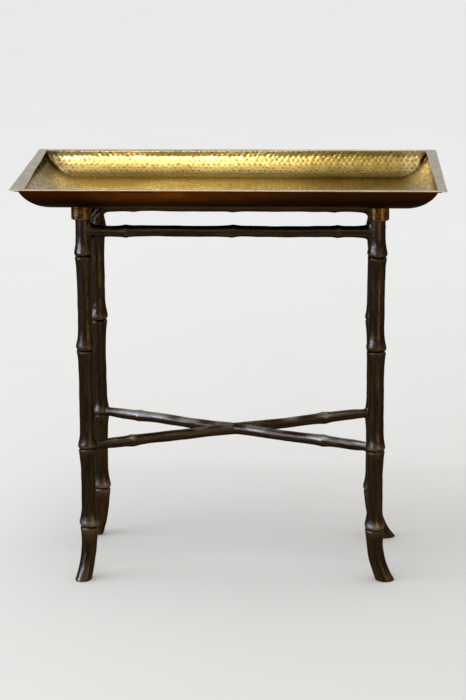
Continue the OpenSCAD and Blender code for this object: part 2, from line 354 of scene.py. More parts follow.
def hammered_material():
    """Polished brass, tarnished in its hammer marks and dark along its seams, with painted shade beside
    the creases, under the rim, along the top of the end walls and at the back left. Towards the ends of
    the tray it is greyer, a painted reflection of a pale wall with painted glints on the crests of the
    marks; it is duller on the floor, and painted shade darkens it to brown on the right."""
    s = Shader("hammered_brass_inside")
    sheet = s.attribute("sheet", vector=True)
    dent = s.attribute("dent")
    crease = s.attribute("crease")
    dull = s.attribute("dull")
    broad = s.noise(sheet, 0.012, 3.0)
    patch = s.noise(sheet, 0.07, 4.0, 0.6)
    grain = s.noise(sheet, 0.9, 4.0, 0.65)

    gold = s.mix(s.ramp(broad, 0.35, 0.65), (0.47, 0.32, 0.067), (0.58, 0.41, 0.11))
    gold = s.mix(s.times(s.ramp(patch, 0.5, 0.75), 0.5), gold, (0.30, 0.19, 0.04))
    tarnish = s.times(s.ramp(dent, 0.5, 0.1), s.ramp(grain, 0.3, 0.7, 0.6, 0.95))
    gold = s.mix(tarnish, gold, (0.13, 0.080, 0.013))
    # painted reflection of a pale wall: greyer towards the ends of the tray
    haze = s.times(s.attribute("haze"), s.ramp(grain, 0.35, 0.65, 0.5, 1.0))
    gold = s.mix(haze, gold, (0.36, 0.31, 0.22))
    # painted glints: near white on the crests of the marks there
    painted_glint = s.times(haze, s.ramp(dent, 0.55, 0.95))
    gold = s.mix(painted_glint, gold, (0.95, 0.92, 0.82))
    gold = s.mix(s.times(dull, 0.4), gold, (0.13, 0.092, 0.024))
    # painted shade: darker and browner towards the right end, less on the floor
    across = s.node("ShaderNodeSeparateXYZ", {"Vector": sheet}).outputs["X"]
    right_side = s.times(s.ramp(across, 30, 180), s.ramp(across, 256, 276, 1.0, 0.1))
    painted_shade_right = s.times(right_side, s.ramp(patch, 0.3, 0.6, 0.50, 0.70))
    painted_shade_right = s.times(painted_shade_right, s.ramp(dull, 0.0, 1.0, 1.0, 0.3))
    gold = s.mix(painted_shade_right, gold, (0.13, 0.085, 0.020))
    # dark seams in the creases, and painted shade beside them, under the rim, along the end walls' tops,
    # at the back left and on the left end wall
    seams_and_painted_shade = s.times(crease, s.ramp(patch, 0.25, 0.6, 0.98, 0.72))
    colour = s.mix(seams_and_painted_shade, gold, (0.035, 0.021, 0.008))

    rough = s.plus(s.ramp(patch, 0.3, 0.7, 0.11, 0.19), s.times(grain, 0.06))
    rough = s.plus(rough, s.times(haze, 0.05))
    rough = s.plus(rough, s.times(dull, 0.08))
    height = s.plus(s.times(grain, 0.6), s.times(s.noise(sheet, 0.35, 2.0), 0.8))

    # the end walls are seen at a low angle, where the edge tint and the lacquer count most
    # painted glints: a whiter edge tint on the crests and a darker one in the hollows of the greyer ends
    hollows = s.times(haze, s.ramp(dent, 0.75, 0.35))
    tint = s.mix(hollows, (0.62, 0.52, 0.28), (0.30, 0.22, 0.10))
    tint = s.mix(painted_shade_right, tint, (0.24, 0.18, 0.08))
    tint = s.mix(painted_glint, tint, (0.95, 0.92, 0.84))
    tint = s.mix(seams_and_painted_shade, tint, (0.05, 0.035, 0.015))
    lacquer = s.times(s.math("SUBTRACT", 1.0, s.math("MAXIMUM", seams_and_painted_shade, painted_shade_right)), 0.8)
    return s.finish(colour, rough, s.bump(height, 0.0003, 0.5), edge_tint=tint, lacquer=lacquer)


def underside_material():
    """The tray's outside, left dark red-brown by its patina, with painted shade that makes it darkest
    where it rolls under and painted light that makes it paler towards the left.
    """
    s = Shader("hammered_brass_outside")
    sheet = s.attribute("sheet", vector=True)
    dent = s.attribute("dent")
    rolled = s.attribute("crease")
    broad = s.noise(s.stretched(sheet, (0.012, 0.03, 0.03)), 1.0, 4.0)
    grain = s.noise(sheet, 0.5, 4.0, 0.65)
    brown = s.mix(s.ramp(broad, 0.35, 0.65), (0.25, 0.085, 0.011), (0.43, 0.165, 0.025))
    brown = s.mix(s.times(s.ramp(dent, 0.6, 0.1), 0.4), brown, (0.27, 0.105, 0.018))
    # painted light: paler towards the left, darker to the right and at the very left end
    brown = s.mix(s.attribute("haze"), (0.075, 0.024, 0.003), brown)
    brown = s.mix(s.times(s.ramp(grain, 0.55, 0.75), 0.6), brown, (0.018, 0.006, 0.002))
    # painted shade: near black where it rolls under
    colour = s.mix(s.ramp(rolled, 0.25, 0.8, 0.0, 0.85), brown, (0.014, 0.0045, 0.0012))
    rough = s.ramp(grain, 0.3, 0.7, 0.34, 0.5)
    height = s.plus(grain, s.times(s.noise(sheet, 0.16, 2.0), 1.5))
    return s.finish(colour, rough, s.bump(height, 0.0006, 0.5), edge_tint=(0.9, 0.8, 0.75))


def rim_material():
    """Plain satin brass gone grey, with fine marks along each strip, and paler brass on its edges, partly
    rubbed wear and partly a painted highlight.
    """
    s = Shader("satin_rim_brass")
    strip = s.attribute("strip", vector=True)
    edge = s.attribute("edge")
    brushed = s.noise(s.stretched(strip, (0.03, 1.3, 1.3)), 1.0, 3.0, 0.6)
    cloud = s.noise(strip, 0.05, 4.0, 0.6)
    speck = s.noise(strip, 0.7, 3.0, 0.7)
    grey = s.mix(s.ramp(cloud, 0.35, 0.65), (0.56, 0.55, 0.49), (0.74, 0.725, 0.67))
    grey = s.mix(s.ramp(brushed, 0.42, 0.7, 0.0, 0.35), grey, (0.36, 0.32, 0.24))
    grey = s.mix(s.ramp(speck, 0.62, 0.75, 0.0, 0.4), grey, (0.28, 0.22, 0.14))
    # paler on the edges: rubbed brass and a painted highlight along them
    colour = s.mix(s.times(edge, 0.6), grey, (0.80, 0.62, 0.42))
    rough = s.ramp(cloud, 0.3, 0.7, 0.32, 0.44)
    return s.finish(colour, rough, s.bump(s.plus(brushed, speck), 0.0003, 0.35))


def turned_material(name, dark, light, edge_colour):
    """Turned brass under a brown patina, with fine marks round it."""
    s = Shader(name)
    turned = s.attribute("cane", vector=True)
    wear = s.attribute("wear")
    lines = s.noise(s.stretched(turned, (0.04, 0.04, 1.6)), 1.0, 3.0, 0.6)
    cloud = s.noise(turned, 0.12, 4.0, 0.6)
    colour = s.mix(s.ramp(cloud, 0.35, 0.65), dark, light)
    colour = s.mix(s.ramp(lines, 0.5, 0.75, 0.0, 0.45), colour, tuple(c * 0.3 for c in dark))
    rubbed_and_painted_light = s.times(s.ramp(wear, 0.2, 0.9), s.ramp(cloud, 0.3, 0.6, 0.5, 0.9))
    colour = s.mix(rubbed_and_painted_light, colour, edge_colour)
    rough = s.ramp(cloud, 0.3, 0.7, 0.16, 0.27)
    return s.finish(colour, rough, s.bump(lines, 0.0003, 0.5), edge_tint=(0.35, 0.28, 0.22))


def steel_material():
    """Plain steel, for the studs that are hidden in the legs and the caps."""
    s = Shader("stud_steel")
    place = s.node("ShaderNodeTexCoord").outputs["Object"]
    lines = s.noise(s.stretched(place, (150.0, 150.0, 1400.0)), 1.0, 3.0, 0.6)
    cloud = s.noise(place, 180.0, 3.0)
    colour = s.mix(s.ramp(cloud, 0.35, 0.65), (0.36, 0.35, 0.34), (0.56, 0.56, 0.56))
    rough = s.ramp(lines, 0.3, 0.7, 0.28, 0.42)
    return s.finish(colour, rough, s.bump(lines, 0.0002, 0.4))


BRONZE = bronze_material()
HAMMERED = hammered_material()
UNDERSIDE = underside_material()
RIM = rim_material()
CAP = turned_material("turned_cap_brass", dark=(0.10, 0.052, 0.016), light=(0.26, 0.15, 0.05),
                      edge_colour=(0.42, 0.28, 0.11))
RIVET = turned_material("rivet_brass", dark=(0.06, 0.038, 0.02), light=(0.15, 0.10, 0.045),
                        edge_colour=(0.4, 0.3, 0.14))
STEEL = steel_material()

# -------------------- legs

AROUND = 72


def make_leg(corner, number):
    """A leg with its rings, run into a foot that kicks outward in an arc and stands flat on the floor."""
    kick, extra = CORNERS[corner]
    rng = np.random.default_rng(100 + number)
    node = "leg_" + corner
    axis = middle("cap_stud_" + corner)
    top = box(node)[1][2]
    z = stations(0.0, top, LEG_RINGS, coarse=3.0, fine=0.8, reach=14)
    z = np.unique(np.append(z, [0.9, 2.0]))      # two more for the eased edge of the sole
    turn = np.arange(AROUND) * TAU / AROUND
    along, around = np.meshgrid(z, turn, indexing="ij")

    reach = math.hypot(*kick)
    kick_turn = math.atan2(kick[1], kick[0])
    sweep = 2 * math.atan(reach / FOOT_TOP)
    arc_r = FOOT_TOP / math.sin(sweep)
    slope = np.arcsin(np.clip((FOOT_TOP - along) / arc_r, 0, 1))
    offset = arc_r * (1 - np.cos(slope))

    rise, ridge = ring_relief(rng, along, around, LEG_RINGS, LEG_RING, size=1.0, tilt_mm=1.3,
                              groove_shade=0.9)
    radius = LEG_R + extra + rise + flutes(rng, along, around, depth=0.11)
    girth = 12.0     # the unevenness is laid out round a plain cane of this radius
    points = round_axis(girth, around, along)
    radius += 0.16 * waves(rng, points, 26) + 0.07 * waves(rng, points, 8)
    foot = smoothstep((FOOT_TOP - along) / 30)
    radius += FOOT_SWELL * foot + TOE_SWELL * smoothstep((TOE_H - along) / TOE_H)
    radius -= SOLE_EASE * smoothstep((SOLE_H - along) / SOLE_H)

    # a level slice through a leaning cane is an ellipse, longer in the direction of the kick
    outward = radius * np.cos(around - kick_turn) / np.cos(slope) + offset
    sideways = radius * np.sin(around - kick_turn)
    cos_k, sin_k = math.cos(kick_turn), math.sin(kick_turn)
    sway = 0.35 * waves(rng, z, 230)[:, None] * smoothstep((along - 90) / 60)
    x = axis[0] + outward * cos_k - sideways * sin_k + sway
    y = axis[1] + outward * sin_k + sideways * cos_k
    verts = np.stack([x, y, along], -1)

    # the rings and the toe are rubbed most; the lower leg is lighter too, a painted reflection of the rug
    # below it
    toe = smoothstep((26 - along) / 26)
    low = smoothstep((380 - along) / 380)
    wear = 1.25 * ridge + 0.45 * toe + 0.6 * low + 0.12 * waves(rng, points, 30)
    attrs = {"cane": round_axis(radius, around, along + LEG_PATTERN * number), "wear": wear}
    make_piece(node, verts, tube_faces(len(z), AROUND), "stand", [BRONZE], attrs)


for number, corner in enumerate(CORNERS):
    make_leg(corner, number)

# -------------------- rails and stretcher

CANE_AROUND = 56
BLEND_STEPS = 7

leg_at = {corner: middle("cap_stud_" + corner) for corner in CORNERS}
leg_radius = {corner: LEG_R + extra for corner, (kick, extra) in CORNERS.items()}
rail_z = middle("rail_front")[2]
cross_z = middle("stretcher_rivet")[2]


def fillet(rng, side, leg_r, half, end_radius, blend, last):
    """Rings from the cane's last station onto the leg, round the ball that rests on both, and into
    the leg: their places along and across the cane, their heights and their wear."""
    turn = np.arange(CANE_AROUND) * TAU / CANE_AROUND
    ball = end_radius + blend
    lateral, vertical = ball * np.cos(turn), ball * np.sin(turn)
    depth = np.sqrt((leg_r + blend) ** 2 - lateral ** 2)
    spot = np.stack([depth, lateral, vertical], -1)
    on_cane = np.stack([depth, end_radius * np.cos(turn), end_radius * np.sin(turn)], -1)
    on_leg = spot.copy()
    on_leg[:, :2] *= leg_r / (leg_r + blend)
    out = []
    for share in (0.35, 0.7):
        place = (half - abs(last)) * (1 - share) + depth * share
        out.append(np.stack([place, on_cane[:, 1], on_cane[:, 2]], -1))
    to_cane, to_leg = on_cane - spot, on_leg - spot
    for step in range(BLEND_STEPS + 1):
        share = step / BLEND_STEPS
        way = to_cane * (1 - share) + to_leg * share
        out.append(spot + way / np.linalg.norm(way, axis=1, keepdims=True) * blend)
    inner = on_leg.copy()
    inner[:, :2] *= CANE_END
    out.append(inner)
    grid = np.array(out)
    far = grid[..., 0]
    lumps = 0.05 * np.cos(2 * turn + rng.uniform(0, TAU))
    lumps = 1 + lumps + 0.03 * np.cos(5 * turn + rng.uniform(0, TAU))
    near_leg = smoothstep((np.max(depth) + 1 - far) / blend)
    scale = 1 + (lumps - 1) * near_leg
    worn = 0.35 * np.sin(np.linspace(0, math.pi, len(out)))[:, None] + 0 * far
    return side * (half - far), grid[..., 1] * scale, grid[..., 2] * scale, worn


def make_cane(node, legs, z, ring_places, seed, radius, end_radius, taper, blend,
              ring_fit=0.0, bulge=0.0, rubbed_and_painted_light=0.0):
    """A cane between two legs at height z, run into both with a fillet of braze."""
    rng = np.random.default_rng(seed)
    start, end = (np.array([leg_at[leg][0], leg_at[leg][1], z]) for leg in legs)
    leg_radii = [leg_radius[leg] + ring_fit for leg in legs]
    half = np.linalg.norm(end - start) / 2
    rings = [half * place for place in ring_places]
    centre = (start + end) / 2
    ahead = (end - start) / (2 * half)
    up = np.array([0.0, 0.0, 1.0])
    left = np.cross(up, ahead)

    clear = [leg_r + blend + 0.6 for leg_r in leg_radii]
    x = stations(-half + clear[0], half - clear[1], rings, coarse=2.6, fine=0.8, reach=8)
    turn = np.arange(CANE_AROUND) * TAU / CANE_AROUND
    along, around = np.meshgrid(x, turn, indexing="ij")
    rise, ridge = ring_relief(rng, along, around, rings, RAIL_RING, size=SMALL, tilt_mm=1.6,
                              groove_shade=0.3)
    near = half - np.abs(along)
    body = end_radius + (radius - end_radius) * smoothstep((near - TAPER_FROM) / taper)
    points = round_axis(radius, around, along)
    uneven = flutes(rng, along, around, depth=0.07)
    uneven = uneven + 0.22 * waves(rng, points, 34) + 0.06 * waves(rng, points, 7)
    calm = smoothstep((near - max(clear)) / 10)
    girth = body + rise + uneven * calm + bulge * bell(along, 11)
    sag = 0.5 * waves(rng, x, 150)[:, None] * calm
    sway = 0.5 * waves(rng, x, 170)[:, None] * calm
    span = (along, girth * np.cos(around) + sway, girth * np.sin(around) + sag, ridge)

    first = fillet(rng, -1, leg_radii[0], half, end_radius, blend, x[0])
    second = fillet(rng, 1, leg_radii[1], half, end_radius, blend, x[-1])
    rows = [tuple(part[::-1] for part in first), span, second]
    along, across, height, worn = (np.concatenate(parts) for parts in zip(*rows))
    verts = centre + along[..., None] * ahead + across[..., None] * left + height[..., None] * up
    angle = np.arctan2(height, across)
    cane = round_axis(radius, angle, along + CANE_PATTERN * seed)
    # painted sheen: the bars' tops are lighter, partly rubbed metal and partly a painted highlight
    top = smoothstep(1.4 * np.sin(angle)) * smoothstep((half - np.abs(along)) / 22)
    # painted shade: their undersides are pulled near black
    under = smoothstep(0.2 - 1.3 * np.sin(angle)) if rubbed_and_painted_light else 0
    worn = worn + rubbed_and_painted_light * top * (1 + 0.35 * waves(rng, cane, 45)) - 0.3 * under
    attrs = {"cane": cane, "wear": worn + 0.12 * waves(rng, cane, 30)}
    faces = tube_faces(len(along), CANE_AROUND)
    make_piece(node, verts, faces, "stand", [BRONZE], attrs)


RAIL = {"radius": RAIL_R, "end_radius": RAIL_END_R, "taper": RAIL_TAPER, "blend": RAIL_BLEND}
BAR = {"radius": BAR_R, "end_radius": BAR_END_R, "taper": BAR_TAPER, "blend": BAR_BLEND,
       "ring_fit": BAR_RING_FIT, "bulge": BAR_BULGE}
make_cane("rail_front", ("front_left", "front_right"), rail_z, FRONT_RINGS, 11, **RAIL)
make_cane("rail_back", ("back_right", "back_left"), rail_z, FRONT_RINGS, 12, **RAIL)
make_cane("rail_left", ("front_left", "back_left"), rail_z, SIDE_RINGS, 13, **RAIL)
make_cane("rail_right", ("back_right", "front_right"), rail_z, SIDE_RINGS, 14, **RAIL)
# the stretcher bars get a painted sheen on top, stronger on the lower bar, and painted shade beneath
make_cane("stretcher_upper", ("front_left", "back_right"), cross_z, BAR_RINGS, 15, rubbed_and_painted_light=1.3, **BAR)
make_cane("stretcher_lower", ("back_left", "front_right"), cross_z, BAR_RINGS, 16, rubbed_and_painted_light=1.7, **BAR)

# -------------------- turned pieces


def lathe(node, outline, material, number, wobble, around=96):
    """A turned piece from (radius, height, wear) points, over the middle of its CAD node."""
    rng = np.random.default_rng(300 + number)
    centre = middle(node)
    low = box(node)[0][2]
    turn = np.arange(around) * TAU / around
    r, z, worn = (np.array(column)[:, None] + 0 * turn for column in zip(*outline))
    uneven = 1 + wobble * np.cos(2 * turn + rng.uniform(0, TAU))
    uneven = uneven + wobble * np.cos(3 * turn + rng.uniform(0, TAU))
    x, y = r * uneven * np.cos(turn), r * uneven * np.sin(turn)
    verts = np.stack([centre[0] + x, centre[1] + y, low + z], -1)
    attrs = {"cane": np.stack([x, y, z + TURNED_PATTERN * number], -1), "wear": worn}
    faces = tube_faces(len(outline), around)
    make_piece(node, verts, faces, "stand", [material], attrs, sharp_over=50)


def cap_outline(radius, height, ease=2.6, top_ease=0.9):
    """A cap, from near the middle of its underside to near that of its top: an eased lower edge,
    faint turning lines and a small rounding on top."""
    out = [(3.0, 0.35, 0.0), (radius - ease - 1.5, 0.0, 0.1)]
    for i in range(7):
        a = math.pi / 2 * i / 6
        r = radius - ease + ease * math.sin(a)
        out.append((r, ease - ease * math.cos(a), 0.75 * math.sin(2 * a) + 0.1))
    z = ease
    while z < height - 2.2:
        z += 0.7
        line = 0.07 * math.cos(z * 2.6) + 0.05 * math.cos(z * 4.1 + 1)
        out.append((radius + line - 0.12, z, 0.0))
    for i in range(5):
        a = math.pi / 2 * i / 4
        r = radius - top_ease + top_ease * math.cos(a)
        out.append((r, height - top_ease + top_ease * math.sin(a), 0.8 * math.sin(2 * a)))
    out.append((radius - 4, height, 0.1))
    return out


for number, corner in enumerate(CORNERS):
    node = "leg_cap_" + corner
    lo, hi = box(node)
    lathe(node, cap_outline((hi[0] - lo[0]) / 2 - 0.1, hi[2] - lo[2]), CAP, number, wobble=0.003)
    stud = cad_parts["cap_stud_" + corner]
    stud.data.materials.clear()
    stud.data.materials.append(STEEL)

rivet_lo, rivet_hi = box("stretcher_rivet")
rivet_r = (rivet_hi[0] - rivet_lo[0]) / 2
rivet_h = rivet_hi[2] - rivet_lo[2]
# the rivet's lower head, dressed nearly flush, from its middle out to the shank
head = [(0.3, -1.2, 0.9), (rivet_r * 0.8, -1.1, 0.9), (rivet_r * 1.2, -0.8, 0.7),
        (rivet_r * 1.45, -0.2, 0.3), (rivet_r * 1.5, 0.5, 0.0)]
shank = [(rivet_r, 0.6, 0.0), (rivet_r, rivet_h - 0.6, 0.0)]
other_head = [(r, rivet_h - z, worn) for r, z, worn in reversed(head)]
lathe("stretcher_rivet", head + shank + other_head, RIVET, 9, wobble=0.01, around=40)

# -------------------- tray pan

pan_lo, pan_hi = box("tray_pan")
front_lo, front_hi = box("tray_rim_front")
side_w = front_hi[1] - front_lo[1]
tray_half = np.array([-box("tray_rim_left")[0][0], -front_lo[1]])
mouth_half = pan_hi[:2] - LIP_W
inner_r = WALL_R - SHEET_T
rise = pan_hi[2] - pan_lo[2] - SHEET_T
flat_half = mouth_half - inner_r * math.sin(math.acos(1 - rise / inner_r))


def sheet_grid(r, bend, step):
    """Stations across the sheet, for both directions: place, height, surface distance and slope.
    Each wall is an arc of radius r, and its top bends back to level where bend is a radius."""
    turn = math.acos(1 - rise / (r + bend))
    t = np.linspace(0, turn, max(2, round(r * turn / step)) + 1)[1:]
    lean, height, run = r * np.sin(t), r - r * np.cos(t), r * t
    if bend:
        over = np.linspace(turn, 0, 6)[1:]
        lean = np.append(lean, (r + bend) * math.sin(turn) - bend * np.sin(over))
        height = np.append(height, rise - bend + bend * np.cos(over))
        run = np.append(run, r * turn + bend * (turn - over))
        t = np.append(t, over)
    out = []
    for flat in flat_half:
        cells = max(2, round(2 * flat / step))
        level = np.linspace(-flat, flat, cells + 1)
        place = np.concatenate([-(flat + lean)[::-1], level, flat + lean])
        rising = np.concatenate([height[::-1], 0 * level, height])
        surface = np.concatenate([-(flat + run)[::-1], level, flat + run])
        slope = np.concatenate([-t[::-1], 0 * level, t])
        out.append((place, rising, surface, slope))
    return out


def hammer_marks(rng, u, v):
    """Depth of overlapping round hammer marks at points of the sheet, from 0 at a ridge to about 1."""
    rows = HAMMER_PITCH * math.sqrt(3) / 2
    depth = np.zeros_like(u)
    size = 150      # more marks than the sheet has, each way
    jitter = rng.uniform(-0.17, 0.17, (size, size, 2)) * HAMMER_PITCH
    force = rng.uniform(0.7, 1.15, (size, size))
    row = np.round(v / rows).astype(int)
    for dr in (-1, 0, 1):
        r = row + dr
        shift = (r % 2) * 0.5
        col = np.round(u / HAMMER_PITCH - shift).astype(int)
        for dc in (-1, 0, 1):
            c = col + dc
            jx, jy = jitter[r % size, c % size, 0], jitter[r % size, c % size, 1]
            cu = (c + shift) * HAMMER_PITCH + jx
            cv = r * rows + jy
            power = force[r % size, c % size]
            reach = 0.52 * HAMMER_PITCH * (0.75 + 0.25 * power)
            far = np.clip(((u - cu) ** 2 + (v - cv) ** 2) / reach ** 2, 0, 1)
            depth = np.maximum(depth, power * (1 - far) ** 1.5)
    return depth


def up_wall(surface, way):
    """Distance up a rolled wall from the flat floor, 0 on the floor. way is 0 for X and 1 for Y."""
    return np.clip(np.abs(surface) - flat_half[way], 0, None)


def inside_looks(x, y, z, gap, on_x, on_y):
    """Where the tray's inside is darkened: a dark seam in each crease, and painted shade beside the
    creases, under the rim, along the top of the end walls, in the back left corner and on the left end
    wall. And where it takes a painted reflection of a pale wall: towards its ends, most at the front."""
    line = bell(gap, 1.6) * smoothstep((z - 4) / 24)
    # painted shade beside each crease, under the rim, along the top of the end walls, in the back left
    # corner and on the left end wall, darker towards its back
    beside = 0.75 * bell(gap, 14) * smoothstep((z - 2) / 12)
    under_rim = smoothstep((z - (rise - 1.6)) / 1.6) * 0.2
    end_top = np.where(x < 0, 1.0, 0.7) * on_x * smoothstep((z - (rise - 13)) / 11)
    back_left = np.where((x < 0) & (y > 0), 1.6, 0.0) * bell(gap, 16)
    back_left = back_left * smoothstep((z - 10) / 14)
    left_end = np.where(on_x & (x < 0), 0.62, 0.0) * smoothstep((y + 70) / 200) * smoothstep(z / 16)
    seams_and_painted_shade = np.clip(line + beside + under_rim + end_top + back_left + left_end, 0, 1)
    # painted reflection of a pale wall: paler towards the ends, most at the front
    haze = smoothstep((np.abs(x) - flat_half[0] + 30) / 70)
    haze = haze * (0.45 + 0.55 * smoothstep((40 - y) / 160))
    return seams_and_painted_shade, np.where(on_y, 0.3, 1.0) * haze


def outside_looks(x, z):
    """How far each point of the outside has rolled under, which sets its painted shade, and where painted
    light makes it paler: towards the left, but not at the very end."""
    haze = smoothstep((150 - x) / 330) * (0.05 + 0.95 * smoothstep((x + 225) / 100))
    return 1 - z / rise, haze


def grid_faces(nx, ny):
    """Two triangles for each cell of a grid, split in line with the tray's creases."""
    i = np.arange(nx - 1)[:, None] * ny
    j = np.arange(ny - 1)[None, :]
    a, b, c, d = (corner.ravel() for corner in (i + j, i + ny + j, i + ny + j + 1, i + j + 1))
    ii, jj = np.meshgrid(np.arange(nx - 1), np.arange(ny - 1), indexing="ij")
    rising = ((ii < nx / 2) == (jj < ny / 2)).ravel()[:, None]
    first = np.where(rising, np.stack([a, b, c], -1), np.stack([a, b, d], -1))
    second = np.where(rising, np.stack([a, c, d], -1), np.stack([b, c, d], -1))
    return np.concatenate([first, second])


def grid_edge(nx, ny):
    """The outermost points of a grid, counter-clockwise from its first."""
    return np.concatenate([np.arange(nx) * ny, (nx - 1) * ny + np.arange(1, ny),
                           np.arange(nx - 2, -1, -1) * ny + ny - 1, np.arange(ny - 2, 0, -1)])


def skin(r, bend, step, base, depth, outside):
    """One face of the pan: its points, their attributes, its faces and the loop round its edge."""
    grid_x, grid_y = sheet_grid(r, bend, step)
    x, y = np.meshgrid(grid_x[0], grid_y[0], indexing="ij")
    height_x, height_y = np.meshgrid(grid_x[1], grid_y[1], indexing="ij")
    surface_x, surface_y = np.meshgrid(grid_x[2], grid_y[2], indexing="ij")
    slope_x, slope_y = np.meshgrid(grid_x[3], grid_y[3], indexing="ij")
    on_x = height_x > height_y + 1e-9
    on_y = height_y > height_x + 1e-9
    tie = ~on_x & ~on_y & (height_x > 0)
    z = np.maximum(height_x, height_y)

    u = np.where(on_x, surface_x, x)
    v = np.where(on_y, surface_y, y)
    marks = hammer_marks(np.random.default_rng(41), u, v)
    # the two walls meet at each crease, where the marks are the mean of both walls' and much milder
    other = hammer_marks(np.random.default_rng(41), np.where(tie, surface_x, u), np.where(tie, y, v))
    marks = np.where(tie, 0.5 * (marks + other) * 0.3, marks)

    lean_x = np.where(on_y, 0, slope_x)
    lean_y = np.where(on_x, 0, slope_y)
    normal = np.stack([-np.sin(lean_x), -np.sin(lean_y), np.ones_like(x)], -1)
    normal[..., 2] = np.cos(np.maximum(np.abs(lean_x), np.abs(lean_y)))
    normal /= np.linalg.norm(normal, axis=-1, keepdims=True)

    # distance from the crease, across it; far away on the floor and in the middle of the walls
    off_crease = np.abs(up_wall(surface_x, 0) - up_wall(surface_y, 1))
    gap = np.where((height_x > 0) & (height_y > 0), off_crease, 1e3)
    seam = bell(gap, SEAM_W) * smoothstep(z / 4)
    flat = np.stack([x, y, 0 * x], -1)
    calm = 1 - 0.85 * smoothstep((z - (rise - 2.2)) / 2)
    struck = FLOOR_SHARE + (1 - FLOOR_SHARE) * smoothstep(z / 7)
    sink = depth * struck * marks * calm * (1 - 0.6 * seam) + (0.0 if outside else SEAM_DEPTH * seam)
    edge = smoothstep(z / 3) * smoothstep((rise - z) / 6) + (z < 1e-6)
    sink = sink + WARP * waves(np.random.default_rng(7), flat, 90) * edge
    crushed = bell(gap, 9) * smoothstep((z - 6) / 10) * calm
    crushed *= np.where((x > 0) & (y > 0), 1.0, 0.25)
    sink = sink + CRUSH * crushed * waves(np.random.default_rng(19), flat, 15)
    points = np.stack([x, y, z + base], -1) - normal * sink[..., None]

    crease, haze = outside_looks(x, z) if outside else inside_looks(x, y, z, gap, on_x, on_y)
    attrs = {"sheet": np.stack([u, v, 30 * on_x + 60 * on_y], -1), "dent": 1 - marks, "crease": crease,
             "haze": haze, "dull": 1 - smoothstep((z - 1) / 9)}
    attrs = {key: values.reshape(-1, *values.shape[2:]) for key, values in attrs.items()}
    faces = grid_faces(*x.shape)
    if outside:
        faces = faces[:, ::-1]
    return points.reshape(-1, 3), attrs, faces, grid_edge(*x.shape)


def loop_share(points):
    """How far round the tray each point of a loop is, by its angle in a square of the same shape."""
    q = points[:, :2] / np.abs(points[:, :2]).max(0)
    return np.arctan2(q[:, 1], q[:, 0])


def zip_loops(points, a, b):
    """Triangles between two loops that both run counter-clockwise from the same corner."""
    pa, pb = points[a], points[b]
    ta, tb = np.unwrap(loop_share(pa)), np.unwrap(loop_share(pb))
    ta = np.append(ta, ta[0] + TAU) - ta[0]
    tb = np.append(tb, tb[0] + TAU) - tb[0]
    faces, i, j = [], 0, 0
    while i < len(a) or j < len(b):
        if j >= len(b) or (i < len(a) and ta[i + 1] <= tb[j + 1]):
            faces.append([a[i], b[j % len(b)], a[(i + 1) % len(a)]])
            i += 1
        else:
            faces.append([a[i % len(a)], b[j], b[(j + 1) % len(b)]])
            j += 1
    return faces


def make_pan():
    """The pan: its inside, the lip that runs out under the rim strips, and its outside."""
    floor_z = pan_lo[2] + SHEET_T
    inside, inside_attrs, inside_faces, inside_loop = skin(
        inner_r, BEND_R, INSIDE_STEP, floor_z, HAMMER_DEPTH, outside=False)
    outside, outside_attrs, outside_faces, outside_loop = skin(
        WALL_R, 0, OUTSIDE_STEP, pan_lo[2], OUTSIDE_SHARE * HAMMER_DEPTH, outside=True)
    outside[:, 2] = np.maximum(outside[:, 2], pan_lo[2])

    # the lip: from the top of the inside, out under the rim, down, and back in to the outside
    reach = mouth_half + LIP_W
    top = pan_hi[2] - LIP_GAP
    bottom = top - SHEET_T
    ease_in, ease_down = LIP_EASE
    mouth = inside[inside_loop]
    lip = []
    for wide, z in ((reach - ease_in, top), (reach, top - ease_down),
                    (reach, bottom + ease_down), (reach - ease_in, bottom)):
        ring = mouth.copy()
        ring[:, :2] = ring[:, :2] / np.abs(mouth[:, :2]).max(0) * wide
        ring[:, 2] = z
        lip.append(ring)
    verts = np.concatenate([inside] + lip + [outside])

    around = len(inside_loop)
    lip_first = len(inside)
    outside_first = lip_first + len(lip) * around
    loops = [inside_loop] + [lip_first + k * around + np.arange(around) for k in range(len(lip))]
    faces = inside_faces.tolist()
    for a, b in zip(loops[:-1], loops[1:]):
        faces += np.stack([a, b, np.roll(b, -1), np.roll(a, -1)], -1).tolist()
    faces += zip_loops(verts, loops[-1].tolist(), (outside_loop + outside_first).tolist())
    faces += (outside_faces + outside_first).tolist()
    face_mats = [0] * len(inside_faces) + [1] * (len(faces) - len(inside_faces))

    attrs = {}
    for key, values in inside_attrs.items():
        plain = np.full((len(lip) * around, *values.shape[1:]), 0.5 if key == "dent" else 0.0)
        on_lip = np.concatenate(lip) if key == "sheet" else plain
        attrs[key] = np.concatenate([values, on_lip, outside_attrs[key]])
    make_piece("tray_pan", verts, faces, "tray", [HAMMERED, UNDERSIDE], attrs, face_mats,
               sharp_over=60)


make_pan()

# -------------------- rim strips

# Width of each end strip at its front and back end, cut by hand and not quite even
END_WIDTHS = {"left": (22.0, 13.5), "right": (13.5, 19.5)}
RIGHT_LEAN = 2.5         # how far the right end's outer edge leans in towards the back
SET_BACK = 2.8           # how far the side strips stand back from the edge of the tray's mouth
EDGE_R = 1.3             # rounding of a strip's upper edges
EDGE_EASE = 0.25         # easing of its lower edges
HOLLOW = 0.12            # how much lower a strip's middle is than its edges
RUBBED = {"tray_rim_front": 0.7}     # how far a strip is rubbed back to clean brass
STRIP_PATTERN = 70.0     # step in the brass's pattern from one strip to the next


def rim_corner(side_x, side_y):
    """Outer and inner corner of the rim, in plan."""
    width = END_WIDTHS["left" if side_x < 0 else "right"][0 if side_y < 0 else 1]
    outer = np.array([side_x * tray_half[0], side_y * tray_half[1]])
    inner = outer - [side_x * width, side_y * (side_w - SET_BACK)]
    if side_x > 0 and side_y > 0:
        outer = outer - [RIGHT_LEAN, 0]
    return outer, inner


